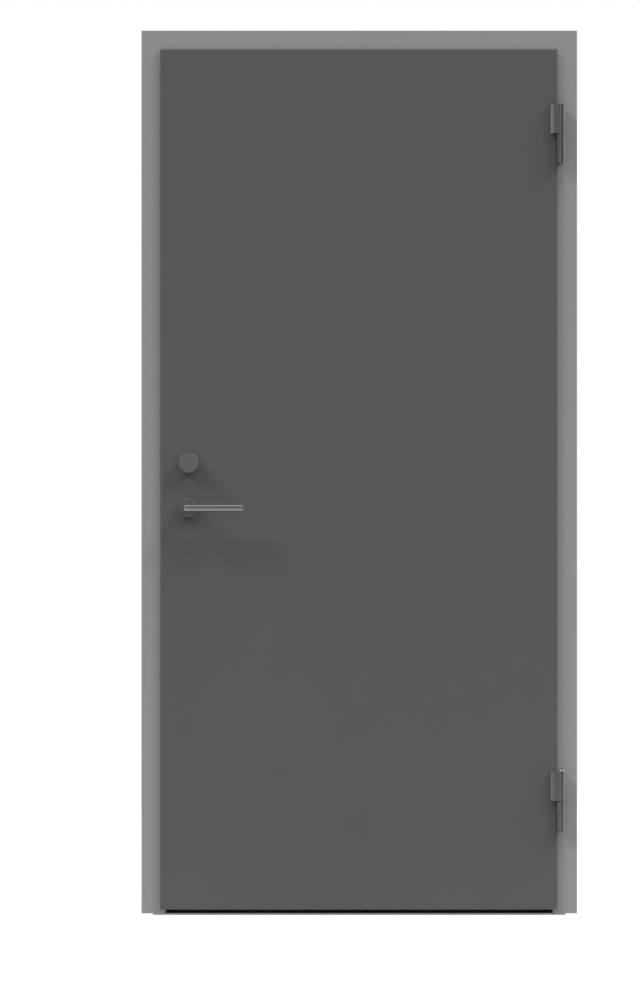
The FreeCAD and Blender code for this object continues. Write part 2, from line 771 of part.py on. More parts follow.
def make_spindle():
    """The square bar that joins the two levers through the lock."""
    body = new_body("lever_spindle")
    reach = "(sizes.neck_gap + sizes.spindle_socket)"
    back_end = f"({LEAF_BACK} + {reach})"
    sketch = new_sketch(body, "XZ_Plane", out=f"-{back_end}")
    half = "sizes.spindle_side / 2"
    rectangle(
        sketch,
        f"{LEVER_X} - {half}",
        f"{LEVER_X} + {half}",
        f"{LEVER_Z} - {half}",
        f"{LEVER_Z} + {half}",
    )
    pad(body, sketch, f"sizes.leaf_thickness + 2 * {reach}")


make_lock_jamb()
make_jamb("hinge_jamb", 1)
make_head()
make_threshold()
make_seals()
make_strike()
make_anchor_sleeves("lock_jamb_anchor_sleeves", -1)
make_anchor_sleeves("hinge_jamb_anchor_sleeves", 1)
for position, height in HINGE_HEIGHTS.items():
    make_hinge(position, height)
make_front_sheet()
make_rear_sheet()
make_lock()
for where, face, direction in (("front", LEAF_FRONT, -1), ("back", LEAF_BACK, 1)):
    make_rosette(f"{where}_lever_rosette", face, direction)
    make_disc(f"{where}_lock_cover", COVER_Z, face, direction, "cover")
    make_lever(f"{where}_lever", face, direction)
make_spindle()
doc.recompute()

bodies = [item for item in doc.Objects if item.TypeId == "PartDesign::Body"]
for item in doc.Objects:
    if "Invalid" in item.State or "Error" in item.State:
        raise RuntimeError(f"{item.Label} did not build: {item.State}")
for body in bodies:
    if body.Shape.isNull() or not body.Shape.isValid():
        raise RuntimeError(f"{body.Label} has no valid shape")

os.makedirs("parts", exist_ok=True)
for body in bodies:
    body.Shape.exportStep(f"parts/{body.Label}.step")
print(f"{len(bodies)} pieces written")
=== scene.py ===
"""Steel utility door: its finishes, hinge halves, small screws, studio light and camera.

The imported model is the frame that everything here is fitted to. Lengths are in metres.
"""

import math

import bmesh
import bpy
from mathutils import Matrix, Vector


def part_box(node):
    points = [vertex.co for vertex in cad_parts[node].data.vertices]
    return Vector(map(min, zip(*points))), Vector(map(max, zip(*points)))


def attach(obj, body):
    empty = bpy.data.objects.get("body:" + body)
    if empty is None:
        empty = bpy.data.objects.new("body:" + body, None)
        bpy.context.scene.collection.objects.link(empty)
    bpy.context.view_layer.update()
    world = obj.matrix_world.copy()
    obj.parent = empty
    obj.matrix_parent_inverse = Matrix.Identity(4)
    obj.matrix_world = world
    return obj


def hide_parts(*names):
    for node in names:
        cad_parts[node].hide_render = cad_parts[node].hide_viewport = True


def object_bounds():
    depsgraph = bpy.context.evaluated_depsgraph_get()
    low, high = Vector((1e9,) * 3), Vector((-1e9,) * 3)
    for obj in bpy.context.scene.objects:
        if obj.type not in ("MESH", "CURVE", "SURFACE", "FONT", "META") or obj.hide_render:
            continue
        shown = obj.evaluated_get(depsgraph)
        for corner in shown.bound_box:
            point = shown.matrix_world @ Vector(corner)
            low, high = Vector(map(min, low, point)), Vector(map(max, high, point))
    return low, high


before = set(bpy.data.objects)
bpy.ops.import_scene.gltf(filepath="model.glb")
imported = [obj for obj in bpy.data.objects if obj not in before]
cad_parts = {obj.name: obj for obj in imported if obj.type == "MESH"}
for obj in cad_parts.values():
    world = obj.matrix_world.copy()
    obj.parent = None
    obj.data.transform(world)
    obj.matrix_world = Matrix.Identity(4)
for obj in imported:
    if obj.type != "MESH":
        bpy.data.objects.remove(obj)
CAD_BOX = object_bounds()

bl_info = {
    "name": "Steel Utility Door",
    "version": (1, 0, 0),
    "blender": (4, 5, 0),
    "location": "3D View > Sidebar > Door",
    "description": "Finishes, hinges, screws, light and camera for a steel utility door",
    "category": "Object",
}

# The photograph's frame, and where the door stands in it
IMAGE_WIDTH = 640
IMAGE_HEIGHT = 1000
FLANGE_LEFT_PIXEL = 141.5
FLANGE_RIGHT_PIXEL = 577.0
SILL_PIXEL = 914.97
SENSOR = 36.0

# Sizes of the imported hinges, what counts as touching, and which edges stay sharp
PACKED_BEVEL = 0.0015
PACKED_ROUND = 0.0115
NEAR = 0.00001
SAME_POINT = 0.000001
SHARP_EDGE = math.radians(25)

# Sides of a screw head and of its socket, and how wide the head's top is
HEAD_SIDES = 32
SOCKET_SIDES = 6
TOP_SHARE = 0.6

# Roughness of each finish, from its smoothest to its dullest spots
POWDER_ROUGHNESS = (0.44, 0.62)
SATIN_ROUGHNESS = (0.14, 0.22)
GROUND_ROUGHNESS = (0.2, 0.32)
BLASTED_ROUGHNESS = (0.54, 0.66)
PICKLED_ROUGHNESS = (0.5, 0.65)
PLATED_ROUGHNESS = (0.38, 0.52)
TURNED_ROUGHNESS = (0.24, 0.34)
SPANGLE_ROUGHNESS = (0.32, 0.55)
RUBBER_ROUGHNESS = (0.6, 0.82)

# How far the patterns change each colour, and how deep they go
GRAIN_SHADES = (0.88, 1.12)
RING_SHADES = (0.92, 1.08)
PATCH_SHADES = (0.86, 1.14)
SPANGLE_SHADES = (0.8, 1.1)
RUBBER_SHADES = (0.7, 1.5)
GRAIN_RELIEF = 0.000006
ZINC_RELIEF = 0.00001
RUBBER_RELIEF = 0.00003

# Width of one patch in the zinc and of one speck on the rubber, and how far crystals are bent
ZINC_PATCH = 0.007
RUBBER_SPECK = 0.0012
BENT_SHARE = 0.6

# How shiny the powder coat is, and how far the pickled plate's haze hides its metal
POWDER_SHINE = 0.3
PICKLED_METAL = 0.4

# How far forward or back a direction points where the soft light and the walls change
FILL_CHANGE = (-0.3, 0.3)
WALL_CHANGE = (-0.75, 0.6)

# The floor: the height on the door that it is mirrored at, how it glows, and its two greys
MIRROR_HEIGHT = 0.4
FLOOR_GLOW = 0.93
FLOOR_GREY = (0.3, 0.3, 0.3, 1)
FLOOR_SHADOW = (0.1, 0.1, 0.1, 1)
WHITE = (1, 1, 1, 1)

# Sockets of the Mix node when it mixes colours
COLOUR_A = 6
COLOUR_B = 7
COLOUR_RESULT = 2

# The leaf's sheets are dark powder coat. The threshold stop takes the same dark grey as painted shade, so
# the gap under the leaf reads black.
DARK_PAINTED = ("leaf_front_sheet", "leaf_rear_sheet", "threshold_stop")
FRAME_SHEETS = ("lock_jamb", "hinge_jamb", "frame_head")
SEALS = ("lock_jamb_seal", "hinge_jamb_seal", "head_seal", "threshold_seal")
HINGES = ("upper", "lower")
HINGE_BODIES = ("leaf", "frame")
FACES = ("front", "back")
LOCK_PLATES = ("lock_forend", "strike_plate")
BOLTS = ("latch_bolt", "dead_bolt")
HIDDEN_STEEL = ("strike_box", "lock_case", "lever_spindle",
                "lock_jamb_anchor_sleeves", "hinge_jamb_anchor_sleeves")
SCREW_SIZES = ("Head", "Rise", "Rim", "Socket", "Socket Depth")


def linear(code):
    """An sRGB hex colour as linear red, green and blue."""
    channels = [int(code[i:i + 2], 16) / 255 for i in (1, 3, 5)]
    return [c / 12.92 if c <= 0.04045 else ((c + 0.055) / 1.055) ** 2.4 for c in channels]


def shade(colour, factor):
    """A colour made darker or lighter, with full alpha."""
    return (*(channel * factor for channel in colour), 1.0)


def add(tree, kind, inputs=None, **settings):
    """Add a node, set its properties, and set or link its inputs. A list holds several links."""
    node = tree.nodes.new(kind)
    for name, setting in settings.items():
        setattr(node, name, setting)
    for key, given in (inputs or {}).items():
        for source in given if isinstance(given, list) else [given]:
            if isinstance(source, bpy.types.NodeSocket):
                tree.links.new(source, node.inputs[key])
            else:
                node.inputs[key].default_value = source
    return node


def new_material(name):
    """A material, its node tree and its shader."""
    material = bpy.data.materials.new(name)
    material.use_nodes = True
    return material, material.node_tree, material.node_tree.nodes["Principled BSDF"]


def vary(tree, pattern, colour, shades, roughness, relief):
    """Let a pattern from 0 to 1 vary a surface's colour, roughness and relief."""
    shader = tree.nodes["Principled BSDF"]
    darker, lighter = (shade(colour, factor) for factor in shades)
    smooth, dull = roughness
    mix = add(tree, "ShaderNodeMix", {0: pattern, COLOUR_A: darker, COLOUR_B: lighter}, data_type="RGBA")
    level = add(tree, "ShaderNodeMapRange", {"Value": pattern, "To Min": smooth, "To Max": dull})
    bump = add(tree, "ShaderNodeBump", {"Height": pattern, "Strength": 1.0, "Distance": relief})
    tree.links.new(mix.outputs[COLOUR_RESULT], shader.inputs["Base Color"])
    tree.links.new(level.outputs["Result"], shader.inputs["Roughness"])
    tree.links.new(bump.outputs["Normal"], shader.inputs["Normal"])


def dress(names, material):
    """Give CAD nodes their finish."""
    for name in names:
        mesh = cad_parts[name].data
        mesh.materials.clear()
        mesh.materials.append(material)


class DoorPaint(bpy.types.PropertyGroup):
    """Powder coat on the leaf and the frame."""
    leaf_colour: bpy.props.FloatVectorProperty(
        name="Leaf", description="Colour of the leaf's powder coat",
        subtype="COLOR", default=linear("#555351"), min=0, max=1)
    frame_colour: bpy.props.FloatVectorProperty(
        name="Frame", description="Colour of the frame's powder coat",
        subtype="COLOR", default=linear("#8B8B8B"), min=0, max=1)
    peel: bpy.props.FloatProperty(
        name="Orange Peel", description="Width of one dimple in the baked skin",
        unit="LENGTH", default=0.0022, min=0.0005)
    peel_relief: bpy.props.FloatProperty(
        name="Peel Relief", description="Depth of the dimples", unit="LENGTH", default=0.00002, min=0)
    cloud: bpy.props.FloatProperty(
        name="Clouds", description="Width of the areas where the film is a little thicker",
        unit="LENGTH", default=0.16, min=0.01)
    cloud_contrast: bpy.props.FloatProperty(
        name="Cloud Contrast", description="How far the clouds change the colour",
        subtype="FACTOR", default=0.03, min=0, max=0.5)
    wave: bpy.props.FloatProperty(
        name="Sheet Waves", description="Width of the slow waves in the flat sheet",
        unit="LENGTH", default=0.32, min=0.05)
    wave_relief: bpy.props.FloatProperty(
        name="Wave Relief", description="Height of the slow waves", unit="LENGTH", default=0.0004, min=0)


class DoorMetal(bpy.types.PropertyGroup):
    """Bare and plated metal, and the rubber seals."""
    stainless: bpy.props.FloatVectorProperty(
        name="Stainless", description="Colour of the satin stainless steel",
        subtype="COLOR", default=linear("#C6C3BF"), min=0, max=1)
    cover: bpy.props.FloatVectorProperty(
        name="Lock Covers", description="Colour of the blasted steel of the lock covers",
        subtype="COLOR", default=linear("#8A8885"), min=0, max=1)
    # The rosettes' grey is darker than the lock covers' as painted shade from the lever over them.
    rosette: bpy.props.FloatVectorProperty(
        name="Rosettes", description="Colour of the blasted steel of the rosettes",
        subtype="COLOR", default=linear("#7B7976"), min=0, max=1)
    hinge: bpy.props.FloatVectorProperty(
        name="Hinges", description="Colour of the hinges' plated steel",
        subtype="COLOR", default=linear("#8F8D8A"), min=0, max=1)
    threshold: bpy.props.FloatVectorProperty(
        name="Threshold", description="Colour of the threshold's steel",
        subtype="COLOR", default=linear("#C6C5C3"), min=0, max=1)
    galvanised: bpy.props.FloatVectorProperty(
        name="Galvanised", description="Colour of the galvanised steel",
        subtype="COLOR", default=linear("#B9BDC0"), min=0, max=1)
    screws: bpy.props.FloatVectorProperty(
        name="Screws", description="Colour of the screws' bright zinc",
        subtype="COLOR", default=linear("#C9CBCC"), min=0, max=1)
    # The washers' darker grey is partly the hardened steel's own tone and partly painted shade for the
    # shadow line between the hinge halves.
    washer: bpy.props.FloatVectorProperty(
        name="Washers", description="Colour of the hinges' hardened steel washers",
        subtype="COLOR", default=linear("#7A7772"), min=0, max=1)
    rubber: bpy.props.FloatVectorProperty(
        name="Rubber", description="Colour of the seals",
        subtype="COLOR", default=linear("#1C1C1D"), min=0, max=1)
    grain_width: bpy.props.FloatProperty(
        name="Grain Width", description="Width of one brushed line, as coarse as it needs to show",
        unit="LENGTH", default=0.0009, min=0.0001)
    grain_length: bpy.props.FloatProperty(
        name="Grain Length", description="Length of one brushed line",
        unit="LENGTH", default=0.035, min=0.001)
    spangle: bpy.props.FloatProperty(
        name="Spangle", description="Width of one zinc crystal", unit="LENGTH", default=0.012, min=0.001)


class DoorHinges(bpy.types.PropertyGroup):
    """The finer shape of the hinges' halves."""
    wing_reach: bpy.props.FloatProperty(
        name="Frame Wing Reach", description="How far the frame wing's front edge leans over to the leaf",
        unit="LENGTH", default=0.0037, min=0)
    wing_slope: bpy.props.FloatProperty(
        name="Leaf Wing Slope", description="How steep the leaf wing's rounded edge ends",
        subtype="ANGLE", default=math.radians(50), min=math.radians(10), max=math.radians(90))
    bevel: bpy.props.FloatProperty(
        name="End Bevel", description="Height of the bevel on the barrels' free ends",
        unit="LENGTH", default=0.002, min=0.0005, max=0.004)


class DoorScrews(bpy.types.PropertyGroup):
    """Raised-head screws with a hexagon socket."""
    head: bpy.props.FloatProperty(
        name="Head", description="Radius of the head", unit="LENGTH", default=0.0036, min=0.0005)
    rise: bpy.props.FloatProperty(
        name="Rise", description="Height of the head at its middle",
        unit="LENGTH", default=0.0012, min=0.0001)
    rim: bpy.props.FloatProperty(
        name="Rim", description="Height of the head at its edge",
        unit="LENGTH", default=0.0004, min=0.00005)
    socket: bpy.props.FloatProperty(
        name="Socket", description="Radius of the hexagon socket",
        unit="LENGTH", default=0.0016, min=0.0001)
    socket_depth: bpy.props.FloatProperty(
        name="Socket Depth", description="Depth of the socket", unit="LENGTH", default=0.0009, min=0.0001)
    end_distance: bpy.props.FloatProperty(
        name="End Distance", description="From a lock plate's end to its screw",
        unit="LENGTH", default=0.012, min=0.001)
    cover_offset: bpy.props.FloatProperty(
        name="Cover Offset", description="From the middle of a round cover to its screws",
        unit="LENGTH", default=0.017, min=0.001)
    seed: bpy.props.IntProperty(name="Seed", description="Which way the sockets point", default=4)


class DoorStage(bpy.types.PropertyGroup):
    """Camera, lamps and the white surroundings."""
    distance: bpy.props.FloatProperty(
        name="Camera Distance", description="From the frame's face to the camera",
        unit="LENGTH", default=9.0)
    sun_strength: bpy.props.FloatProperty(
        name="Side Lamps", description="Strength of each of the two lamps at the sides",
        default=2.75, min=0)
    middle_strength: bpy.props.FloatProperty(
        name="Middle Lamp", description="Strength of the lamp above the middle", default=1.2, min=0)
    sun_size: bpy.props.FloatProperty(
        name="Lamp Size", description="How wide each lamp looks from the door",
        subtype="ANGLE", default=math.radians(24))
    sun_direction: bpy.props.FloatVectorProperty(
        name="Lamp Direction", description="From the door to the lamp on its hinge side",
        subtype="DIRECTION", default=(2.8, -1.0, 3.0))
    front_fill: bpy.props.FloatProperty(
        name="Front Fill", description="Soft light from the front", default=0.4, min=0)
    back_fill: bpy.props.FloatProperty(
        name="Back Fill", description="Soft light from behind", default=0.95, min=0)
    dim_wall: bpy.props.FloatProperty(
        name="Dim Wall", description="How bright the wall behind the camera looks in metal",
        default=0.2, min=0)
    bright_wall: bpy.props.FloatProperty(
        name="Bright Wall", description="How bright the wall behind the door looks in metal",
        default=1.35, min=0)
    floor_size: bpy.props.FloatProperty(
        name="Floor", description="Width of the floor", unit="LENGTH", default=6.0)


def powder_coat(name, colour, paint):
    # Polyester powder baked on sheet steel: an even satin grey over a fine orange-peel skin,
    # with faint clouds where the film is thicker and slow waves in the flat sheet below.
    material, tree, shader = new_material(name)
    shader.inputs["Specular IOR Level"].default_value = POWDER_SHINE
    place = add(tree, "ShaderNodeTexCoord").outputs["Object"]
    peel = add(tree, "ShaderNodeTexNoise", {"Vector": place, "Scale": 1 / paint.peel, "Detail": 2.0})
    cloud = add(tree, "ShaderNodeTexNoise", {"Vector": place, "Scale": 1 / paint.cloud, "Detail": 4.0})
    wave = add(tree, "ShaderNodeTexNoise", {"Vector": place, "Scale": 1 / paint.wave, "Detail": 0.0})
    contrast = paint.cloud_contrast
    mix = add(tree, "ShaderNodeMix", {
        0: cloud.outputs[0],
        COLOUR_A: shade(colour, 1 - contrast),
        COLOUR_B: shade(colour, 1 + contrast),
    }, data_type="RGBA")
    smooth, dull = POWDER_ROUGHNESS
    level = add(tree, "ShaderNodeMapRange", {"Value": peel.outputs[0], "To Min": smooth, "To Max": dull})
    sheet = add(tree, "ShaderNodeBump", {
        "Height": wave.outputs[0], "Strength": 1.0, "Distance": paint.wave_relief})
    skin = add(tree, "ShaderNodeBump", {
        "Height": peel.outputs[0], "Strength": 1.0, "Distance": paint.peel_relief,
        "Normal": sheet.outputs[0]})
    tree.links.new(mix.outputs[COLOUR_RESULT], shader.inputs["Base Color"])
    tree.links.new(level.outputs[0], shader.inputs["Roughness"])
    tree.links.new(skin.outputs[0], shader.inputs["Normal"])
    return material


def brushed_steel(name, colour, along, metal, roughness=SATIN_ROUGHNESS):
    # Satin stainless steel, ground with a belt along one axis: long fine lines that take the
    # light unevenly. The real grit leaves lines of about 0.1 mm, drawn wider so that they show.
    material, tree, shader = new_material(name)
    shader.inputs["Metallic"].default_value = 1.0
    place = add(tree, "ShaderNodeTexCoord").outputs["Object"]
    scale = tuple(1 / (metal.grain_length if axis == along else metal.grain_width) for axis in "XYZ")
    stretched = add(tree, "ShaderNodeMapping", {"Vector": place, "Scale": scale})
    grain = add(tree, "ShaderNodeTexNoise", {"Vector": stretched.outputs[0], "Scale": 1.0, "Detail": 3.0})
    vary(tree, grain.outputs[0], colour, GRAIN_SHADES, roughness, GRAIN_RELIEF)
    return material


def blasted_steel(name, colour, middle, metal):
    # Stainless steel, turned and then blasted with fine beads: a dull dark grey that spreads
    # the light, over faint rings round the middle of the disc.
    material, tree, shader = new_material(name)
    shader.inputs["Metallic"].default_value = 1.0
    place = add(tree, "ShaderNodeTexCoord").outputs["Object"]
    centred = add(tree, "ShaderNodeMapping", {"Vector": place, "Location": -middle})
    flat = add(tree, "ShaderNodeVectorMath", {0: centred.outputs[0], 1: (1, 0, 1)}, operation="MULTIPLY")
    radius = add(tree, "ShaderNodeVectorMath", {0: flat.outputs[0]}, operation="LENGTH")
    rings = add(tree, "ShaderNodeTexNoise", {
        "W": radius.outputs["Value"], "Scale": 1 / metal.grain_width, "Detail": 2.0}, noise_dimensions="1D")
    vary(tree, rings.outputs[0], colour, RING_SHADES, BLASTED_ROUGHNESS, GRAIN_RELIEF)
    return material


def pickled_steel(name, colour, metal):
    # Stainless plate left matt by the acid bath: a hazy skin that scatters most of the light,
    # with faint lines along the rolling direction.
    material = brushed_steel(name, colour, "X", metal, PICKLED_ROUGHNESS)
    material.node_tree.nodes["Principled BSDF"].inputs["Metallic"].default_value = PICKLED_METAL
    return material


def zinc_plate(name, colour, roughness=PLATED_ROUGHNESS):
    # Zinc-plated steel: a soft grey shine with small cloudy patches from the bath. Turned bars
    # come out smoother than pressed wings, and show the room more sharply.
    material, tree, shader = new_material(name)
    shader.inputs["Metallic"].default_value = 1.0
    place = add(tree, "ShaderNodeTexCoord").outputs["Object"]
    patches = add(tree, "ShaderNodeTexNoise", {
        "Vector": place, "Scale": 1 / ZINC_PATCH, "Detail": 5.0, "Roughness": 0.65})
    vary(tree, patches.outputs[0], colour, PATCH_SHADES, roughness, ZINC_RELIEF)
    return material


def galvanised_steel(name, colour, metal):
    # Hot-dip galvanised sheet: flat zinc crystals, each with a shine of its own.
    material, tree, shader = new_material(name)
    shader.inputs["Metallic"].default_value = 1.0
    place = add(tree, "ShaderNodeTexCoord").outputs["Object"]
    bent = add(tree, "ShaderNodeTexNoise", {"Vector": place, "Scale": 1 / metal.spangle, "Detail": 2.0})
    warp = add(tree, "ShaderNodeVectorMath", {
        0: bent.outputs["Color"], 1: (metal.spangle * BENT_SHARE,) * 3, 2: place}, operation="MULTIPLY_ADD")
    crystals = add(tree, "ShaderNodeTexVoronoi", {"Vector": warp.outputs[0], "Scale": 1 / metal.spangle})
    tone = add(tree, "ShaderNodeSeparateColor", {"Color": crystals.outputs["Color"]})
    vary(tree, tone.outputs[0], colour, SPANGLE_SHADES, SPANGLE_ROUGHNESS, ZINC_RELIEF)
    return material


def rubber_seal(name, colour):
    # Extruded EPDM rubber: matt black with a dry, slightly dusty skin.
    material, tree, _ = new_material(name)
    place = add(tree, "ShaderNodeTexCoord").outputs["Object"]
    specks = add(tree, "ShaderNodeTexNoise", {"Vector": place, "Scale": 1 / RUBBER_SPECK, "Detail": 4.0})
    vary(tree, specks.outputs[0], colour, RUBBER_SHADES, RUBBER_ROUGHNESS, RUBBER_RELIEF)
    return material


def lean_wing(work, low, axis, reach):
    """Lean the front edge of the frame half's wing over to the leaf."""
    for point in work.verts:
        if point.co.x < low.x + NEAR and point.co.y < axis.y:
            point.co.x -= reach


def flatten_wing(work, low, slope):
    """Turn the quarter round of the leaf half's wing into a flatter curve that ends in a step."""
    middle = low.x + PACKED_ROUND
    leaf_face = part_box("leaf_front_sheet")[0].y
    curve = [p for p in work.verts if p.co.x < middle + NEAR and p.co.y < leaf_face - NEAR]
    front = min(point.co.y for point in curve)
    radius = PACKED_ROUND / math.sin(slope)
    for point in curve:
        across = min(max((middle - point.co.x) / PACKED_ROUND, 0), 1)
        angle = math.asin(across) * slope / (math.pi / 2)
        point.co.x = middle - radius * math.sin(angle)
        point.co.y = front + radius * (1 - math.cos(angle))


def stretch_bevel(work, tip, way, bevel):
    """Make the bevel on a barrel's free end taller."""
    for point in work.verts:
        depth = (tip - point.co.z) * way
        if depth < PACKED_BEVEL + NEAR:
            point.co.z = tip - way * depth * bevel / PACKED_BEVEL


def mark_barrel(work, axis, radius):
    """Mark the barrel's faces for the second finish."""
    for face in work.faces:
        if all((point.co - axis).xy.length < radius + NEAR for point in face.verts):
            face.material_index = 1


def shape_hinge(context, position, body, finishes, hinges):
    """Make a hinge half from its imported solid, with the wing and the end of the real one."""
    node = f"{position}_hinge_{body}_half"
    low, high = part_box(node)
    ring_low, ring_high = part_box(f"{position}_hinge_ring")
    axis = (ring_low + ring_high) / 2
    work = bmesh.new()
    work.from_mesh(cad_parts[node].data)
    bmesh.ops.remove_doubles(work, verts=work.verts, dist=SAME_POINT)
    if body == "leaf":
        flatten_wing(work, low, hinges.wing_slope)
        stretch_bevel(work, high.z, 1, hinges.bevel)
    else:
        lean_wing(work, low, axis, hinges.wing_reach)
        stretch_bevel(work, low.z, -1, hinges.bevel)
    mark_barrel(work, axis, high.x - axis.x)
    mesh = bpy.data.meshes.new(f"{position}_{body}_hinge")
    work.to_mesh(mesh)
    work.free()
    packed_normals = mesh.attributes.get("custom_normal")
    if packed_normals:
        mesh.attributes.remove(packed_normals)
    mesh.shade_smooth()
    mesh.set_sharp_from_angle(angle=SHARP_EDGE)
    for finish in finishes:
        mesh.materials.append(finish)
    piece = bpy.data.objects.new(f"{position}_{body}_hinge", mesh)
    context.scene.collection.objects.link(piece)
    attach(piece, body)
    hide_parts(node)


class DOOR_OT_finish_leaf(bpy.types.Operator):
    """Powder-coat the leaf's two sheets, and give the stop that it closes against the same dark grey as
    painted shade for the gap under the leaf
    """
    bl_idname = "door.finish_leaf"
    bl_label = "Finish Leaf"

    def execute(self, context):
        paint = context.scene.door_paint
        # The stop's dark grey is painted shade for the gap under the leaf.
        dress(DARK_PAINTED, powder_coat("powder_coat_dark_grey", paint.leaf_colour, paint))
        return {"FINISHED"}


class DOOR_OT_finish_frame(bpy.types.Operator):
    """Powder-coat the folded frame"""
    bl_idname = "door.finish_frame"
    bl_label = "Finish Frame"

    def execute(self, context):
        paint = context.scene.door_paint
        dress(FRAME_SHEETS, powder_coat("powder_coat_light_grey", paint.frame_colour, paint))
        return {"FINISHED"}


class DOOR_OT_finish_threshold(bpy.types.Operator):
    """Give the threshold its matt steel and the stops their rubber seals"""
    bl_idname = "door.finish_threshold"
    bl_label = "Finish Threshold and Seals"

    def execute(self, context):
        metal = context.scene.door_metal
        dress(["threshold_plate"], pickled_steel("pickled_stainless_threshold", metal.threshold, metal))
        dress(SEALS, rubber_seal("epdm_rubber", metal.rubber))
        return {"FINISHED"}


class DOOR_OT_finish_hinges(bpy.types.Operator):
    """Shape the hinges' wings and ends, zinc-plate them and give them their washers"""
    bl_idname = "door.finish_hinges"
    bl_label = "Finish Hinges"

    def execute(self, context):
        metal = context.scene.door_metal
        plated = zinc_plate("zinc_plated_hinge", metal.hinge)
        turned = zinc_plate("zinc_plated_barrel", metal.hinge, TURNED_ROUGHNESS)
        # The washer's darker grey is partly painted shade for the joint between the hinge halves.
        washer = zinc_plate("hardened_steel_washer", metal.washer)
        for position in HINGES:
            dress([f"{position}_hinge_ring"], washer)
            for body in HINGE_BODIES:
                dress([f"{position}_hinge_{body}_half"], plated)
                shape_hinge(context, position, body, (plated, turned), context.scene.door_hinges)
        return {"FINISHED"}


class DOOR_OT_finish_handles(bpy.types.Operator):
    """Give the levers their satin steel, and the rosettes and lock covers their blasted steel, the rosettes
    in a darker grey that is painted shade from the levers
    """
    bl_idname = "door.finish_handles"
    bl_label = "Finish Handles"

    def execute(self, context):
        metal = context.scene.door_metal
        satin = brushed_steel("satin_stainless_lever", metal.stainless, "X", metal)
        dress([f"{face}_lever" for face in FACES], satin)
        # The rosettes' darker grey is painted shade under the levers.
        for disc, colour in (("lever_rosette", metal.rosette), ("lock_cover", metal.cover)):
            low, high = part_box(f"front_{disc}")
            blasted = blasted_steel(f"blasted_stainless_{disc}", colour, (low + high) / 2, metal)
            dress([f"{face}_{disc}" for face in FACES], blasted)
        return {"FINISHED"}


class DOOR_OT_finish_lock(bpy.types.Operator):
    """Give the lock, the strike and the hidden fixings their steel"""
    bl_idname = "door.finish_lock"
    bl_label = "Finish Lock"

    def execute(self, context):
        metal = context.scene.door_metal
        dress(LOCK_PLATES, brushed_steel("satin_stainless_plate", metal.stainless, "Z", metal))
        dress(BOLTS, brushed_steel("ground_steel_bolt", metal.galvanised, "X", metal, GROUND_ROUGHNESS))
        dress(HIDDEN_STEEL, galvanised_steel("galvanised_steel", metal.galvanised, metal))
        return {"FINISHED"}


def screw_tree(material):
    """A node tree that puts one raised-head screw on each point, facing its own way."""
    tree = bpy.data.node_groups.new("door_screws", "GeometryNodeTree")
    tree.interface.new_socket("Geometry", in_out="INPUT", socket_type="NodeSocketGeometry")
    for name in SCREW_SIZES:
        tree.interface.new_socket(name, in_out="INPUT", socket_type="NodeSocketFloat")
    tree.interface.new_socket("Seed", in_out="INPUT", socket_type="NodeSocketInt")
    tree.interface.new_socket("Geometry", in_out="OUTPUT", socket_type="NodeSocketGeometry")
    given = add(tree, "NodeGroupInput").outputs

    rim = add(tree, "GeometryNodeMeshCone", {
        "Vertices": HEAD_SIDES, "Radius Top": given["Head"], "Radius Bottom": given["Head"],
        "Depth": given["Rim"]})
    slope = add(tree, "ShaderNodeMath", {0: given["Rise"], 1: given["Rim"]}, operation="SUBTRACT")
    top = add(tree, "ShaderNodeMath", {0: given["Head"], 1: TOP_SHARE}, operation="MULTIPLY")
    crown = add(tree, "GeometryNodeMeshCone", {
        "Vertices": HEAD_SIDES, "Radius Top": top.outputs[0], "Radius Bottom": given["Head"],
        "Depth": slope.outputs[0]})
    crown_place = add(tree, "ShaderNodeCombineXYZ", {"Z": given["Rim"]})
    raised = add(tree, "GeometryNodeTransform", {
        "Geometry": crown.outputs["Mesh"], "Translation": crown_place.outputs[0]})
    head = add(tree, "GeometryNodeMeshBoolean", {
        "Mesh 2": [rim.outputs["Mesh"], raised.outputs[0]]}, operation="UNION")
    key_depth = add(tree, "ShaderNodeMath", {0: given["Socket Depth"], 1: 2.0}, operation="MULTIPLY")
    key = add(tree, "GeometryNodeMeshCylinder", {
        "Vertices": SOCKET_SIDES, "Radius": given["Socket"], "Depth": key_depth.outputs[0]})
    key_place = add(tree, "ShaderNodeCombineXYZ", {"Z": given["Rise"]})
    placed = add(tree, "GeometryNodeTransform", {
        "Geometry": key.outputs["Mesh"], "Translation": key_place.outputs[0]})
    screw = add(tree, "GeometryNodeMeshBoolean", {
        "Mesh 1": head.outputs[0], "Mesh 2": placed.outputs[0]}, operation="DIFFERENCE")

    facing = add(tree, "GeometryNodeInputNamedAttribute", {"Name": "facing"}, data_type="FLOAT_VECTOR")
    spin = add(tree, "FunctionNodeRandomValue", {"Max": math.tau, "Seed": given["Seed"]}, data_type="FLOAT")
    turn = add(tree, "ShaderNodeCombineXYZ", {"Z": spin.outputs["Value"]})
    start = add(tree, "FunctionNodeEulerToRotation", {0: turn.outputs[0]})
    aligned = add(tree, "FunctionNodeAlignRotationToVector", {
        "Rotation": start.outputs[0], "Vector": facing.outputs["Attribute"]}, axis="Z")
    placed_screws = add(tree, "GeometryNodeInstanceOnPoints", {
        "Points": given["Geometry"], "Instance": screw.outputs[0], "Rotation": aligned.outputs[0]})
    real = add(tree, "GeometryNodeRealizeInstances", {"Geometry": placed_screws.outputs[0]})
    plated = add(tree, "GeometryNodeSetMaterial", {"Geometry": real.outputs[0], "Material": material})
    add(tree, "NodeGroupOutput", {"Geometry": plated.outputs[0]})
    return tree


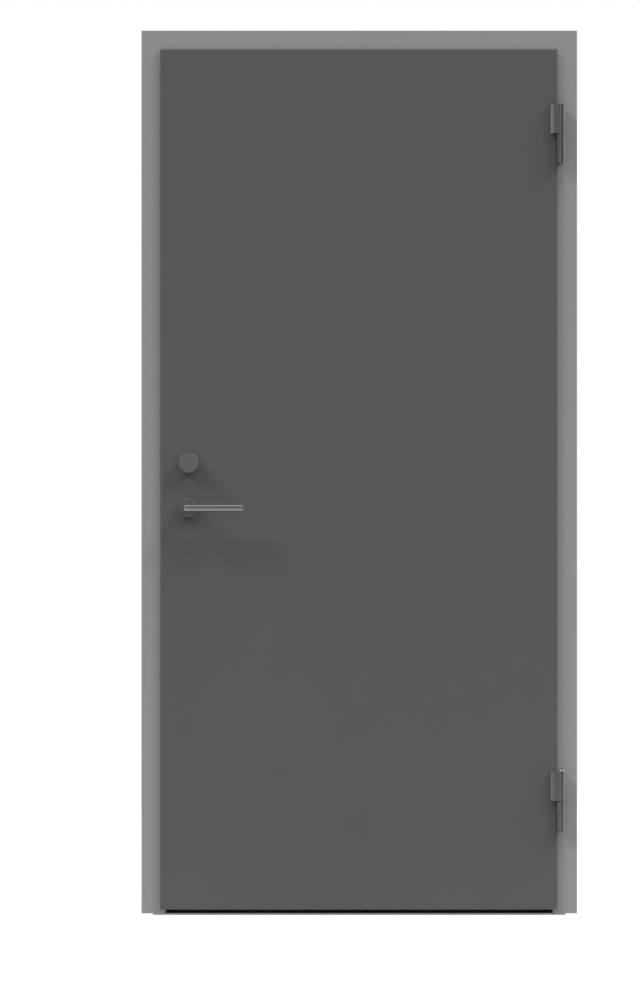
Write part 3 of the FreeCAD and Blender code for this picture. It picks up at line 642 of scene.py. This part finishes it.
def grown_mesh(name, points, tree, screws):
    """The plain mesh that the screw tree makes on points of (place, facing)."""
    seeds = bpy.data.meshes.new(f"{name}_points")
    seeds.from_pydata([place for place, _ in points], [], [])
    facing = seeds.attributes.new("facing", "FLOAT_VECTOR", "POINT")
    facing.data.foreach_set("vector", [part for _, way in points for part in way])
    carrier = bpy.data.objects.new(f"{name}_points", seeds)
    bpy.context.scene.collection.objects.link(carrier)
    modifier = carrier.modifiers.new("Screws", "NODES")
    modifier.node_group = tree
    values = {"Head": screws.head, "Rise": screws.rise, "Rim": screws.rim, "Socket": screws.socket,
              "Socket Depth": screws.socket_depth, "Seed": screws.seed}
    for item in tree.interface.items_tree:
        if item.in_out == "INPUT" and item.name in values:
            modifier[item.identifier] = values[item.name]
    graph = bpy.context.evaluated_depsgraph_get()
    mesh = bpy.data.meshes.new_from_object(carrier.evaluated_get(graph))
    carrier.modifiers.remove(modifier)
    bpy.data.objects.remove(carrier)
    mesh.name = name
    return mesh


def screw_points(screws):
    """Where the screws of each body sit, and which way they face."""
    points = {"leaf": [], "frame": []}
    for body, plate, way in (("leaf", "lock_forend", -1), ("frame", "strike_plate", 1)):
        low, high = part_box(plate)
        face = low.x if way < 0 else high.x
        for height in (low.z + screws.end_distance, high.z - screws.end_distance):
            place = Vector((face, (low.y + high.y) / 2, height))
            points[body].append((place, Vector((way, 0, 0))))
    for cover in ("back_lever_rosette", "back_lock_cover"):
        low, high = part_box(cover)
        for offset in (-screws.cover_offset, screws.cover_offset):
            place = Vector(((low.x + high.x) / 2, high.y, (low.z + high.z) / 2 + offset))
            points["leaf"].append((place, Vector((0, 1, 0))))
    return points


class DOOR_OT_add_screws(bpy.types.Operator):
    """Add the screws of the forend, the strike and the covers on the back"""
    bl_idname = "door.add_screws"
    bl_label = "Add Screws"

    def execute(self, context):
        screws = context.scene.door_screws
        material = zinc_plate("bright_zinc_screw", context.scene.door_metal.screws)
        tree = screw_tree(material)
        for body, points in screw_points(screws).items():
            mesh = grown_mesh(f"{body}_screws", points, tree, screws)
            if not mesh.polygons:
                raise RuntimeError(f"the {body}'s screws came out empty")
            piece = bpy.data.objects.new(f"{body}_screws", mesh)
            context.scene.collection.objects.link(piece)
            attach(piece, body)
        return {"FINISHED"}


def place_camera(context, stage):
    """Stand the camera where the photograph was taken from."""
    low, high = CAD_BOX
    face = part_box("frame_head")[0].y
    pixel = (high.x - low.x) / (FLANGE_RIGHT_PIXEL - FLANGE_LEFT_PIXEL)
    middle_pixel = (FLANGE_LEFT_PIXEL + FLANGE_RIGHT_PIXEL) / 2
    data = bpy.data.cameras.new("photo_camera")
    data.sensor_width = SENSOR
    data.lens = SENSOR * stage.distance / (pixel * IMAGE_HEIGHT)
    camera = bpy.data.objects.new("photo_camera", data)
    camera.location = (
        (low.x + high.x) / 2 + (IMAGE_WIDTH / 2 - middle_pixel) * pixel,
        face - stage.distance,
        low.z + (SILL_PIXEL - IMAGE_HEIGHT / 2) * pixel,
    )
    camera.rotation_euler = (math.pi / 2, 0, 0)
    context.scene.collection.objects.link(camera)
    context.scene.camera = camera


def hang_lamps(context, stage):
    """Two wide, high lamps at the sides that graze the door, and a weaker one above its middle.

    Metal doesn't show the middle one.
    """
    across, out, up = stage.sun_direction
    lamps = {
        "left_lamp": (stage.sun_strength, Vector((across, -out, -up))),
        "right_lamp": (stage.sun_strength, Vector((-across, -out, -up))),
        "middle_lamp": (stage.middle_strength, Vector((0, -out, -up))),
    }
    for name, (strength, way) in lamps.items():
        data = bpy.data.lights.new(name, "SUN")
        data.energy = strength
        data.angle = stage.sun_size
        lamp = bpy.data.objects.new(name, data)
        lamp.rotation_euler = way.to_track_quat("-Z", "Y").to_euler()
        lamp.visible_glossy = name != "middle_lamp"
        context.scene.collection.objects.link(lamp)


def depth_range(tree, way, change, levels, **settings):
    """A level that changes with how far back a direction points."""
    depth = add(tree, "ShaderNodeSeparateXYZ", {"Vector": way}).outputs["Y"]
    ramp = add(tree, "ShaderNodeMapRange", {
        "Value": depth, "From Min": change[0], "From Max": change[1],
        "To Min": levels[0], "To Max": levels[1]}, **settings)
    return ramp.outputs[0]


def wall_level(tree, way, stage):
    """How bright the room looks in metal: dim in front of the door, bright behind it."""
    levels = (stage.dim_wall, stage.bright_wall)
    return depth_range(tree, way, WALL_CHANGE, levels, interpolation_type="SMOOTHSTEP")


def plainly_seen(tree, path):
    """1 where the camera looks straight at a surface or through something clear, and 0 elsewhere."""
    rays = {0: path["Is Camera Ray"], 1: path["Is Transmission Ray"]}
    return add(tree, "ShaderNodeMath", rays, operation="MAXIMUM").outputs[0]


def light_surroundings(context, stage):
    """A white room: soft light from all round, and a dimmer wall behind the camera for metal to show."""
    world = bpy.data.worlds.new("white_studio")
    world.use_nodes = True
    world.cycles.sampling_method = "NONE"
    context.scene.world = world
    tree = world.node_tree
    tree.nodes.clear()
    path = add(tree, "ShaderNodeLightPath").outputs
    way = add(tree, "ShaderNodeTexCoord").outputs["Generated"]
    fill = depth_range(tree, way, FILL_CHANGE, (stage.front_fill, stage.back_fill))
    walls = wall_level(tree, way, stage)
    level = add(tree, "ShaderNodeMix", {0: path["Is Glossy Ray"], 2: fill, 3: walls})
    strength = add(tree, "ShaderNodeMix", {0: plainly_seen(tree, path), 2: level.outputs[0], 3: 1.0})
    light = add(tree, "ShaderNodeBackground", {"Color": WHITE, "Strength": strength.outputs[0]})
    add(tree, "ShaderNodeOutputWorld", {"Surface": light.outputs[0]})


def lay_floor(context, stage):
    """A floor that looks white, keeps a faint shadow, and shows in metal like the walls."""
    half = stage.floor_size / 2
    level = CAD_BOX[0].z
    mesh = bpy.data.meshes.new("floor")
    corners = ((-half, -half), (half, -half), (half, half), (-half, half))
    mesh.from_pydata([(x, y, level) for x, y in corners], [], [(0, 1, 2, 3)])
    material = bpy.data.materials.new("white_floor")
    material.use_nodes = True
    material.cycles.emission_sampling = "NONE"
    tree = material.node_tree
    tree.nodes.clear()
    path = add(tree, "ShaderNodeLightPath").outputs
    matt = add(tree, "ShaderNodeBsdfDiffuse", {"Color": FLOOR_GREY})
    shadow = add(tree, "ShaderNodeBsdfDiffuse", {"Color": FLOOR_SHADOW})
    place = add(tree, "ShaderNodeTexCoord").outputs["Object"]
    sight = add(tree, "ShaderNodeVectorMath", {0: place, 1: (0, 0, MIRROR_HEIGHT)}, operation="SUBTRACT")
    way = add(tree, "ShaderNodeVectorMath", {0: sight.outputs[0]}, operation="NORMALIZE")
    mirror = wall_level(tree, way.outputs[0], stage)
    glow = add(tree, "ShaderNodeMix", {0: path["Is Glossy Ray"], 2: FLOOR_GLOW, 3: mirror})
    white = add(tree, "ShaderNodeEmission", {"Color": WHITE, "Strength": glow.outputs[0]})
    shown = add(tree, "ShaderNodeAddShader", {0: shadow.outputs[0], 1: white.outputs[0]})
    mirrored = add(tree, "ShaderNodeMath", {
        0: plainly_seen(tree, path), 1: path["Is Glossy Ray"]}, operation="MAXIMUM")
    mix = add(tree, "ShaderNodeMixShader", {
        0: mirrored.outputs[0], 1: matt.outputs[0], 2: shown.outputs[0]})
    add(tree, "ShaderNodeOutputMaterial", {"Surface": mix.outputs[0]})
    mesh.materials.append(material)
    floor = bpy.data.objects.new("floor", mesh)
    context.scene.collection.objects.link(floor)


class DOOR_OT_build_stage(bpy.types.Operator):
    """Set up the camera, the lamps and the white surroundings"""
    bl_idname = "door.build_stage"
    bl_label = "Build Stage"

    def execute(self, context):
        stage = context.scene.door_stage
        place_camera(context, stage)
        hang_lamps(context, stage)
        light_surroundings(context, stage)
        lay_floor(context, stage)
        context.scene.view_settings.view_transform = "Standard"
        return {"FINISHED"}


SETTINGS = {
    "door_paint": DoorPaint,
    "door_metal": DoorMetal,
    "door_hinges": DoorHinges,
    "door_screws": DoorScrews,
    "door_stage": DoorStage,
}
OPERATORS = (
    DOOR_OT_finish_leaf,
    DOOR_OT_finish_frame,
    DOOR_OT_finish_threshold,
    DOOR_OT_finish_hinges,
    DOOR_OT_finish_handles,
    DOOR_OT_finish_lock,
    DOOR_OT_add_screws,
    DOOR_OT_build_stage,
)


class DOOR_PT_sidebar(bpy.types.Panel):
    """Settings and steps of the steel utility door"""
    bl_idname = "DOOR_PT_sidebar"
    bl_label = "Steel Utility Door"
    bl_space_type = "VIEW_3D"
    bl_region_type = "UI"
    bl_category = "Door"

    def draw(self, context):
        for group, kind in SETTINGS.items():
            column = self.layout.box().column()
            for name in kind.__annotations__:
                column.prop(getattr(context.scene, group), name)
        for operator in OPERATORS:
            self.layout.operator(operator.bl_idname)


CLASSES = (*SETTINGS.values(), *OPERATORS, DOOR_PT_sidebar)


def register():
    for kind in CLASSES:
        bpy.utils.register_class(kind)
    for group, kind in SETTINGS.items():
        setattr(bpy.types.Scene, group, bpy.props.PointerProperty(type=kind))


def unregister():
    for group in SETTINGS:
        delattr(bpy.types.Scene, group)
    for kind in reversed(CLASSES):
        bpy.utils.unregister_class(kind)


def main():
    register()
    bpy.ops.door.finish_leaf()
    bpy.ops.door.finish_frame()
    bpy.ops.door.finish_threshold()
    bpy.ops.door.finish_hinges()
    bpy.ops.door.finish_handles()
    bpy.ops.door.finish_lock()
    bpy.ops.door.add_screws()
    bpy.ops.door.build_stage()


if __name__ == "__main__":
    main()
